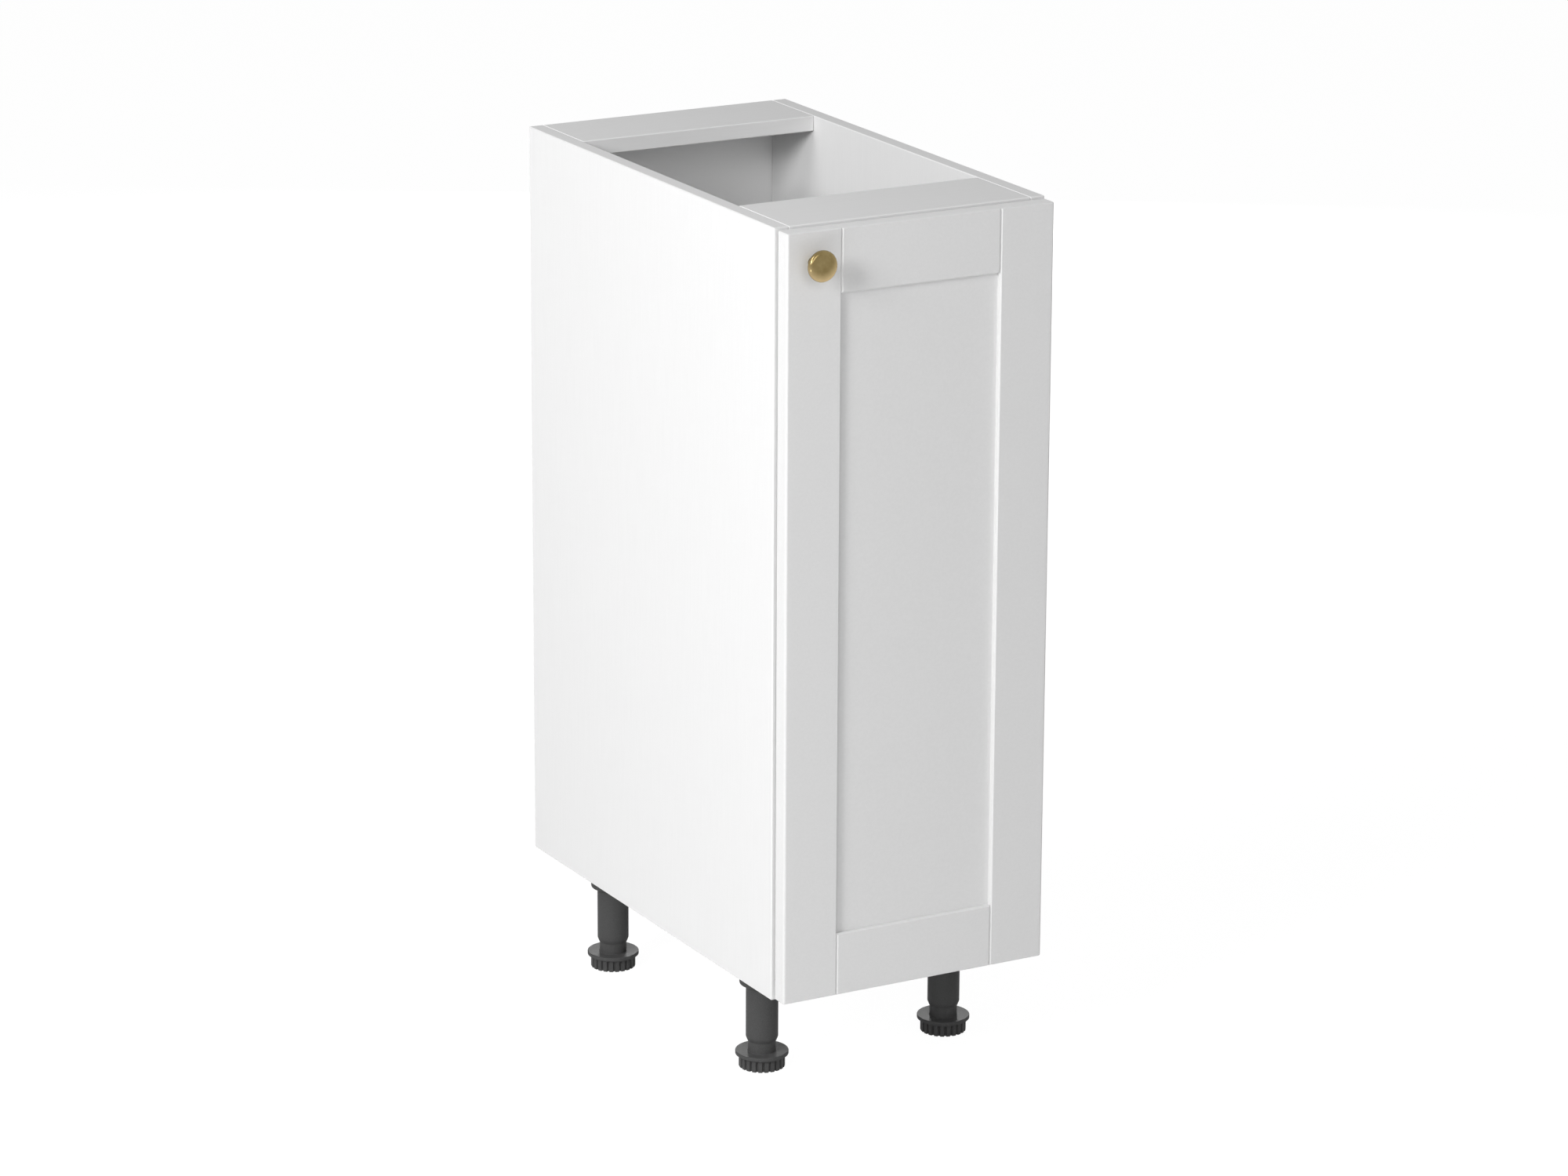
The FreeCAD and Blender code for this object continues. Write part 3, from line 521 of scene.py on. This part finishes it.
def screw_head(radius, centre, axis, segments=40):
    """A pan head with a cross recess.

    The height over the seat is H (1 - 0.7 (r / R)^2), less a recess that fades out past the width of either
    arm of the cross and past half of the radius.
    """
    height = 0.55 * radius
    recess = 0.6 * height
    arm = 0.13 * radius
    arm_edge = 1.6 * arm
    arm_fade = 0.8 * arm
    cross_reach = 0.6 * radius
    cross_fade = 0.12 * radius
    over_cross = np.linspace(0.04, 0.62, 14)
    past_cross = np.linspace(0.7, 1.0, 6)
    share = np.concatenate([over_cross, past_cross])
    u = angles(segments)
    r = share[:, None] * radius * np.ones(segments)
    x = np.abs(r * np.cos(u))
    y = np.abs(r * np.sin(u))
    in_arm = np.clip((arm_edge - np.minimum(x, y)) / arm_fade, 0, 1)
    in_reach = np.clip((cross_reach - r) / cross_fade, 0, 1)
    h = height * (1 - 0.7 * (r / radius) ** 2) - recess * in_arm * in_reach
    r = np.vstack([r, np.full(segments, radius)])
    h = np.vstack([h, np.zeros(segments)])
    return skin(turned(u, r, h, centre, axis))


def leg_places():
    """Middle of each leg on the floor plan, from its foot's box."""
    places = {}
    for name in LEGS:
        low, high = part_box(f"foot_{name}")
        places[name] = ((low.x + high.x) / 2, (low.y + high.y) / 2)
    return places


def hinge_heights():
    """Heights of the lower and upper hinge, half a link's width in from the ends of the links' box."""
    low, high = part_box("hinge_links")
    half_link = 5 * MM
    return low.z + half_link, high.z - half_link


# Steps
class CabinetOperator:
    """What every step shares"""

    bl_options = {"REGISTER"}

    def settings(self, context):
        return context.scene.cabinet


class FinishBoards(CabinetOperator, bpy.types.Operator):
    """Give the sides, bottom, rails, shelf and back their board finishes"""

    bl_idname = "cabinet.finish_boards"
    bl_label = "Finish boards"

    def execute(self, context):
        finishes = self.settings(context).finishes
        dress(melamine(finishes, "upright"), "left_side", "right_side")
        dress(melamine(finishes, "crosswise"), "bottom_panel", "front_top_rail", "rear_top_rail", "shelf")
        dress(fibreboard(finishes), "back_panel")
        return {"FINISHED"}


class FinishDoor(CabinetOperator, bpy.types.Operator):
    """Paint the door's frame and panel, and clear its bumpers"""

    bl_idname = "cabinet.finish_door"
    bl_label = "Finish door"

    def execute(self, context):
        finishes = self.settings(context).finishes
        dress(satin_paint(finishes), "door_left_stile", "door_right_stile", "door_top_rail",
              "door_bottom_rail", "door_panel")
        dress(soft_bumper(finishes), "door_bumpers")
        return {"FINISHED"}


class FillGrooves(CabinetOperator, bpy.types.Operator):
    """Fill the open ends of the stiles' grooves, at the top and bottom of the door"""

    bl_idname = "cabinet.fill_grooves"
    bl_label = "Fill grooves"

    def execute(self, context):
        """Each filler is a rectangle on the plan carried up from z to z + thick."""
        sizes = self.settings(context).fittings
        left_low, left_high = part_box("door_left_stile")
        right_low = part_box("door_right_stile")[0]
        near = left_low.y + sizes.groove_from_front
        far = near + sizes.groove_width
        deep = sizes.groove_depth
        thick = sizes.groove_filler
        sunk = 0.03 * MM
        shells = []
        for x0, x1 in ((left_high.x - deep, left_high.x), (right_low.x, right_low.x + deep)):
            plan = np.array([(x0, near), (x1, near), (x1, far), (x0, far)])
            for z in (left_low.z + sunk, left_high.z - sunk - thick):
                rings = [np.column_stack([plan, np.full(4, level)]) for level in (z, z + thick)]
                shells.append(skin(np.stack(rings)))
        piece("door_groove_fillers", shells, finish_of("door_left_stile"), "door")
        return {"FINISHED"}


class FinishFittings(CabinetOperator, bpy.types.Operator):
    """Give dowels, cams, bolts, shelf pins and hinges their own materials"""

    bl_idname = "cabinet.finish_fittings"
    bl_label = "Finish fittings"

    def execute(self, context):
        finishes = self.settings(context).finishes
        dress(bare_beech(finishes), "dowels")
        dress(die_cast_zinc(finishes), "cam_housings")
        dress(zinc_plate(finishes), "cam_bolts", "knob_screw")
        dress(pale_plastic(finishes), "shelf_pins")
        dress(nickel_plate(finishes), "hinge_pins", "hinge_links", "hinge_arms", "hinge_plates",
              "hinge_rivets")
        return {"FINISHED"}


class AddLegs(CabinetOperator, bpy.types.Operator):
    """Mould the leg plates, the leg tubes and the fluted screw feet"""

    bl_idname = "cabinet.add_legs"
    bl_label = "Add legs"

    def execute(self, context):
        settings = self.settings(context)
        sizes = settings.fittings
        plastic = moulded_plastic(settings.finishes)
        self.add_plates(sizes, plastic)
        self.add_tubes(sizes, plastic)
        for name, (x, y) in leg_places().items():
            self.add_foot(name, x, y, sizes, plastic)
        return {"FINISHED"}

    def add_plates(self, sizes, plastic):
        """Each plate is a rounded square carried up in rings, and its collar is turned.

        The square's point at angle u is (a - c) (sign cos u, sign sin u) + c (cos u, sin u).
        """
        low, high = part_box("leg_plates")
        half = sizes.plate_width / 2
        round_by = sizes.plate_corner
        under = high.z - sizes.plate
        # The angles keep off the axes, where a sign would be nought
        off_axis = 0.02
        quarter = np.linspace(off_axis, math.pi / 2 - off_axis, 8)
        u = np.concatenate([quarter + k * math.pi / 2 for k in range(4)])
        turn = np.stack([np.cos(u), np.sin(u)], axis=1)
        edge = (half - round_by) * np.sign(turn) + round_by * turn
        soft = 0.6 * MM
        eased = 0.3 * soft
        levels = (
            (1.0, high.z), (1.0, under + soft), (1 - eased / half, under + eased), (1 - soft / half, under),
        )
        clearance = 0.1 * MM
        bore = sizes.tube_radius + clearance
        collar = sizes.collar_radius
        root = under + clearance
        seam = low.z + 8 * MM
        seam_end = low.z + 9 * MM
        corners = [
            (bore, seam), (bore, low.z), (collar, low.z), (collar, root), (bore, root), (bore, seam_end),
        ]
        profile = rounded(corners, reach=(0.4, 2.6, 0.05, 0.05))
        shells = []
        for x, y in leg_places().values():
            rings = [np.column_stack([edge * grow + (x, y), np.full(len(u), z)]) for grow, z in levels]
            shells.append(skin(np.stack(rings)))
            shells.append(skin(lathe(profile, TURNED_SEGMENTS, (x, y, 0), UP), loop=True))
        piece("leg_plates_moulded", shells, plastic, "carcass", ["leg_plates"])

    def add_tubes(self, sizes, plastic):
        """Each tube is turned from a closed profile that starts and ends part way up its bore."""
        low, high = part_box("leg_tubes")
        bore = sizes.tube_bore
        radius = sizes.tube_radius
        bevel = 1.6 * MM
        seam = 20 * MM
        corners = [
            (bore, low.z + seam), (bore, low.z), (radius - bevel, low.z), (radius, low.z + sizes.tube_taper),
            (radius, high.z), (bore, high.z), (bore, high.z - seam),
        ]
        profile = rounded(corners, reach=(0.15, 0.15, 0.9, 0.3, 0.3))
        shells = []
        for x, y in leg_places().values():
            shells.append(skin(lathe(profile, TURNED_SEGMENTS, (x, y, 0), UP), loop=True))
        piece("leg_tubes_moulded", shells, plastic, "carcass", ["leg_tubes"])

    def add_foot(self, name, x, y, sizes, plastic):
        """A turned foot whose ring is fluted.

        On the ring r is less by the flutes' depth times a smooth step of cos(n u), for n flutes.
        """
        foot = f"foot_{name}"
        low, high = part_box(foot)
        pole = 0.3 * MM
        ring = sizes.ring_radius
        ring_top = low.z + sizes.ring_height
        flange = (high.x - low.x) / 2
        flange_top = ring_top + sizes.flange
        stem = sizes.stem_radius
        corners = [
            (pole, low.z), (ring, low.z), (ring, ring_top), (flange, ring_top), (flange, flange_top),
            (stem, flange_top - sizes.flange_dish), (stem, high.z), (pole, high.z),
        ]
        profile = rounded(corners, reach=(0.5, 0.4, 0.5, 0.9, 0.8, 0.5))
        # Rows up the ring's wall, for the flutes to shape, go in after the pole and the first rounded corner
        rows = np.linspace(low.z + 0.8 * MM, ring_top - 0.6 * MM, 34)
        wall = np.stack([np.full_like(rows, ring), rows], axis=1)
        wall_start = 7
        profile = np.vstack([profile[:wall_start], wall, profile[wall_start:]])
        flute_edge = 0.5
        flute_fade = 0.2
        flute_top = low.z + sizes.flute_height
        top_fade = 0.5 * MM
        ring_wall = 3 * MM
        wall_fade = 2.4 * MM

        def squeeze(u, r, h):
            groove = np.clip((np.cos(sizes.flutes * u) - flute_edge) / flute_fade, 0, 1)
            groove = groove * groove * (3 - 2 * groove)
            below = np.clip((flute_top - h) / top_fade, 0, 1)
            on_ring = np.clip((r - ring + ring_wall) / wall_fade, 0, 1)
            return r - sizes.flute_depth * groove * below * on_ring

        rings = lathe(profile, sizes.flutes * SEGMENTS_PER_FLUTE, (x, y, 0), UP, squeeze)
        piece(f"{foot}_moulded", [skin(rings)], plastic, foot, [foot])


class AddHingeCups(CabinetOperator, bpy.types.Operator):
    """Press the hinge cups, each with a rim and two ears"""

    bl_idname = "cabinet.add_hinge_cups"
    bl_label = "Add hinge cups"

    def execute(self, context):
        sizes = self.settings(context).fittings
        low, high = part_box("hinge_cups")
        radius = sizes.cup_radius
        bore = sizes.cup_bore
        x = high.x - radius - sizes.cup_rim
        door_back = high.y - sizes.cup_sheet
        bottom = low.y - door_back
        floor = bottom + 1.2 * MM
        lip = 0.5 * sizes.cup_sheet
        pole = 0.3 * MM
        corners = [
            (pole, bottom), (radius, bottom), (radius, lip), (bore, lip), (bore, floor), (pole, floor),
        ]
        bowl = rounded(corners, reach=(2, 0.2, 0.2, 0.8))
        shells = []
        for z in hinge_heights():
            centre = (x, door_back, z)
            shells.append(skin(lathe(bowl, TURNED_SEGMENTS, centre, BACKWARD)))
            shells.append(skin(self.rim(sizes, centre), loop=True))
        steel = finish_of("hinge_plates")
        piece("hinge_cups_pressed", shells, steel, "door", ["hinge_cups"])
        return {"FINISHED"}

    def rim(self, sizes, centre):
        """Flat ring whose outer edge at angle u is the farthest point of the rim's circle or ears' strip.

        The strip is every point within the ear radius of a line one ear radius to the left of the cup's
        middle. Its edge jumps straight above and below the middle, so angles lie close on both sides there.
        """
        beside = np.array((-1e-3, 1e-3))
        u = np.sort(np.concatenate([angles(240), math.pi / 2 + beside, 1.5 * math.pi + beside]))
        farthest = 45 * MM
        t = np.linspace(0, farthest, 900)[:, None]
        across = t * np.cos(u) + sizes.ear_radius
        along = np.maximum(np.abs(t * np.sin(u)) - sizes.ear_pitch / 2, 0)
        inside = np.hypot(across, along) <= sizes.ear_radius
        reach = np.where(inside, t, 0).max(axis=0)
        outer = np.maximum(reach, sizes.cup_radius + sizes.cup_rim)
        bore = np.full_like(u, sizes.cup_bore)
        sheet = sizes.cup_sheet
        soft = 0.2 * MM
        section = ((bore, 0), (bore, sheet), (outer - soft, sheet), (outer, sheet - soft), (outer, 0))
        rings = []
        for radius, height in section:
            level = np.full_like(u, height)
            rings.append(np.stack([radius * np.cos(u), level, radius * np.sin(u)], axis=1))
        return np.array(centre) + np.stack(rings)


class AddKnob(CabinetOperator, bpy.types.Operator):
    """Turn the brass knob"""

    bl_idname = "cabinet.add_knob"
    bl_label = "Add knob"

    def execute(self, context):
        settings = self.settings(context)
        sizes = settings.fittings
        low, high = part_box("knob")
        centre = ((low.x + high.x) / 2, high.y, (low.z + high.z) / 2)
        radius = (high.x - low.x) / 2
        reach = high.y - low.y
        neck = reach - sizes.knob_head
        stem = sizes.knob_stem
        crown = sizes.knob_crown
        pole = 0.2 * MM
        flare = 2.5 * MM
        edge_in = 1.2 * MM
        edge_up = 1.4 * MM
        corners = [
            (pole, 0), (stem, 0), (stem, neck - flare), (radius - edge_in, neck), (radius, neck + edge_up),
            (radius, reach - crown), (radius * 0.55, reach - 0.2 * crown), (pole, reach),
        ]
        profile = rounded(corners, reach=(0.3, 2, 0.6, 0.6, 3.2, 3), steps=10)
        rings = lathe(profile, KNOB_SEGMENTS, centre, FORWARD)
        brass = aged_brass(settings.finishes, centre, radius)
        piece("knob_turned", [skin(rings)], brass, "door", ["knob"])
        return {"FINISHED"}


class AddScrews(CabinetOperator, bpy.types.Operator):
    """Add the heads of the screws in hinge cups, hinge plates, hinge arms and leg plates"""

    bl_idname = "cabinet.add_screws"
    bl_label = "Add screws"

    def execute(self, context):
        sizes = self.settings(context).fittings
        zinc = finish_of("knob_screw")
        self.add_hinge_screws(sizes.screw_head, sizes.ear_pitch / 2, zinc)
        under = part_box("bottom_panel")[0].z - sizes.plate
        aside = 22 * MM
        leg_screws = []
        for x, y in leg_places().values():
            spots = [(x + a * aside, y + b * aside, under) for a in SIDES for b in SIDES]
            leg_screws += [screw_head(sizes.plate_screw, spot, DOWN) for spot in spots]
        piece("leg_plate_screws", leg_screws, zinc, "carcass")
        return {"FINISHED"}

    def add_hinge_screws(self, head, ear_aside, zinc):
        """Two screws in each cup's ears, two in each plate, and two along each arm."""
        cup_low, cup_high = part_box("hinge_cups")
        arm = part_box("hinge_arms")[0]
        plate_sheet = 3 * MM
        plate_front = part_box("hinge_plates")[1].x - plate_sheet
        plate_y = arm.y + 32 * MM
        plate_aside = 16 * MM
        ear_x = cup_low.x + 5.5 * MM
        arm_head = 0.9 * head
        cup_screws = []
        plate_screws = []
        arm_screws = []
        for z in hinge_heights():
            for side in SIDES:
                ear = (ear_x, cup_high.y, z + side * ear_aside)
                cup_screws.append(screw_head(head, ear, BACKWARD))
                plate = (plate_front, plate_y, z + side * plate_aside)
                plate_screws.append(screw_head(head, plate, LEFTWARD))
            for along in (24 * MM, 47 * MM):
                arm_screws.append(screw_head(arm_head, (arm.x, arm.y + along, z), LEFTWARD))
        piece("hinge_cup_screws", cup_screws, zinc, "door")
        piece("hinge_plate_screws", plate_screws, zinc, "carcass")
        piece("hinge_arm_screws", arm_screws, zinc, "carcass")


class AddBackNails(CabinetOperator, bpy.types.Operator):
    """Add the heads of the nails that hold the back board"""

    bl_idname = "cabinet.add_back_nails"
    bl_label = "Add back nails"

    def execute(self, context):
        sizes = self.settings(context).fittings
        low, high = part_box("back_panel")
        inset = 7 * MM
        from_end = 30 * MM
        from_middle = 60 * MM
        heights = np.linspace(low.z + from_end, high.z - from_end, sizes.nails_per_side)
        spots = [(x, z) for z in heights for x in (low.x + inset, high.x - inset)]
        spots += [(x, z) for x in (-from_middle, from_middle) for z in (low.z + inset, high.z - inset)]
        pole = 0.2 * MM
        proud = 0.03 * MM
        sunk = -0.6 * MM
        corners = [(pole, proud), (sizes.nail_head, proud), (sizes.nail_head, sunk), (pole, sunk)]
        head = rounded(corners, reach=0.15, steps=4)
        nails = [skin(lathe(head, NAIL_SEGMENTS, (x, high.y, z), BACKWARD)) for x, z in spots]
        piece("back_nails", nails, finish_of("knob_screw"), "carcass")
        return {"FINISHED"}


class SetStudio(CabinetOperator, bpy.types.Operator):
    """Set the pale floor, the soft lamps and the camera"""

    bl_idname = "cabinet.set_studio"
    bl_label = "Set studio"

    def execute(self, context):
        scene = context.scene
        studio = self.settings(context).studio
        scene.view_settings.view_transform = "Standard"
        self.set_sky(scene, studio)
        self.add_floor(scene, studio)
        for name, place, aim, width in LAMPS:
            self.add_lamp(scene, f"{name}_lamp", place, aim, width, getattr(studio, name))
        self.set_camera(scene, studio)
        return {"FINISHED"}

    def seen(self, tree):
        """One where a ray comes from the camera, a mirror or glass, and zero where it carries soft light."""
        path = add_node(tree, "ShaderNodeLightPath", {})
        either = add_node(tree, "ShaderNodeMath", {"operation": "MAXIMUM"},
                          {0: (path, "Is Camera Ray"), 1: (path, "Is Glossy Ray")})
        return add_node(tree, "ShaderNodeMath", {"operation": "MAXIMUM"},
                        {0: (either, "Value"), 1: (path, "Is Transmission Ray")})

    def set_sky(self, scene, studio):
        """A sky that looks white and gives a weaker light."""
        world = bpy.data.worlds.new("studio_sky")
        world.use_nodes = True
        scene.world = world
        tree = world.node_tree
        tree.nodes.clear()
        white = add_node(tree, "ShaderNodeBackground", {"Color": WHITE, "Strength": 1.0})
        light = add_node(tree, "ShaderNodeBackground", {"Color": WHITE, "Strength": studio.sky})
        links = {0: (self.seen(tree), "Value"), 1: (light, "Background"), 2: (white, "Background")}
        mixed = add_node(tree, "ShaderNodeMixShader", {}, links)
        add_node(tree, "ShaderNodeOutputWorld", {}, {"Surface": (mixed, "Shader")})

    def add_floor(self, scene, studio):
        """A flat square grid, z constant, wide enough to fill the view."""
        reach = np.linspace(-FLOOR_REACH, FLOOR_REACH, 3)
        x, y = np.meshgrid(reach, reach)
        points = np.stack([x, y, np.full_like(x, -FLOOR_DROP)], axis=-1).reshape(-1, 3)
        faces = [(k, k + 1, k + 4, k + 3) for k in (0, 1, 3, 4)]
        mesh = bpy.data.meshes.new("studio_floor")
        mesh.from_pydata(points.tolist(), [], faces)
        floor = bpy.data.objects.new("studio_floor", mesh)
        scene.collection.objects.link(floor)
        mesh.materials.append(self.floor_paint(studio))

    def floor_paint(self, studio):
        """Paint that gives back light like a pale floor, and looks white with a trace of shadow."""
        material = bpy.data.materials.new("painted_studio_floor")
        material.use_nodes = True
        tree = material.node_tree
        tree.nodes.clear()
        lit = add_node(tree, "ShaderNodeBsdfDiffuse", {"Color": shade(studio.floor, 1)})
        glow = add_node(tree, "ShaderNodeEmission", {"Color": WHITE, "Strength": FLOOR_GLOW})
        trace = add_node(tree, "ShaderNodeBsdfDiffuse", {"Color": shade(studio.floor, FLOOR_TRACE)})
        faint = add_node(tree, "ShaderNodeAddShader", {}, {0: (trace, "BSDF"), 1: (glow, "Emission")})
        links = {0: (self.seen(tree), "Value"), 1: (lit, "BSDF"), 2: (faint, "Shader")}
        mixed = add_node(tree, "ShaderNodeMixShader", {}, links)
        add_node(tree, "ShaderNodeOutputMaterial", {}, {"Surface": (mixed, "Shader")})
        return material

    def add_lamp(self, scene, name, place, aim, width, watts):
        data = bpy.data.lights.new(name, "AREA")
        data.shape = "DISK"
        data.size = width
        data.energy = watts
        lamp = bpy.data.objects.new(name, data)
        lamp.location = place
        lamp.rotation_euler = (Vector(aim) - Vector(place)).to_track_quat("-Z", "Y").to_euler()
        scene.collection.objects.link(lamp)

    def set_camera(self, scene, studio):
        data = bpy.data.cameras.new("camera")
        data.lens = studio.lens
        data.sensor_width = SENSOR_WIDTH
        data.sensor_fit = "HORIZONTAL"
        data.clip_end = FAR_CLIP
        camera = bpy.data.objects.new("camera", data)
        pose = Matrix.Translation(CAMERA_PLACE)
        for degrees, axis in CAMERA_TURNS:
            pose = pose @ Matrix.Rotation(math.radians(degrees), 4, axis)
        camera.matrix_world = pose
        scene.collection.objects.link(camera)
        scene.camera = camera


class CabinetPanel(bpy.types.Panel):
    """Lists the cabinet's steps and settings in the sidebar"""

    bl_idname = "CABINET_PT_steps"
    bl_label = "Kitchen base cabinet"
    bl_space_type = "VIEW_3D"
    bl_region_type = "UI"
    bl_category = "Cabinet"

    def draw(self, context):
        for step in STEPS:
            self.layout.operator(step.bl_idname)
        cabinet = context.scene.cabinet
        for group in (cabinet.finishes, cabinet.fittings, cabinet.studio):
            box = self.layout.box()
            for name in group.__annotations__:
                box.prop(group, name)


STEPS = (
    SetStudio, FinishBoards, FinishDoor, FillGrooves, FinishFittings, AddLegs, AddHingeCups, AddKnob,
    AddScrews, AddBackNails,
)
CLASSES = (CabinetFinishes, CabinetFittings, CabinetStudio, Cabinet, *STEPS, CabinetPanel)


def register():
    for made in CLASSES:
        bpy.utils.register_class(made)
    bpy.types.Scene.cabinet = PointerProperty(type=Cabinet)


def unregister():
    del bpy.types.Scene.cabinet
    for made in reversed(CLASSES):
        bpy.utils.unregister_class(made)


def main():
    register()
    bpy.ops.cabinet.set_studio()
    bpy.ops.cabinet.finish_boards()
    bpy.ops.cabinet.finish_door()
    bpy.ops.cabinet.fill_grooves()
    bpy.ops.cabinet.finish_fittings()
    bpy.ops.cabinet.add_legs()
    bpy.ops.cabinet.add_hinge_cups()
    bpy.ops.cabinet.add_knob()
    bpy.ops.cabinet.add_screws()
    bpy.ops.cabinet.add_back_nails()


if __name__ == "__main__":
    main()
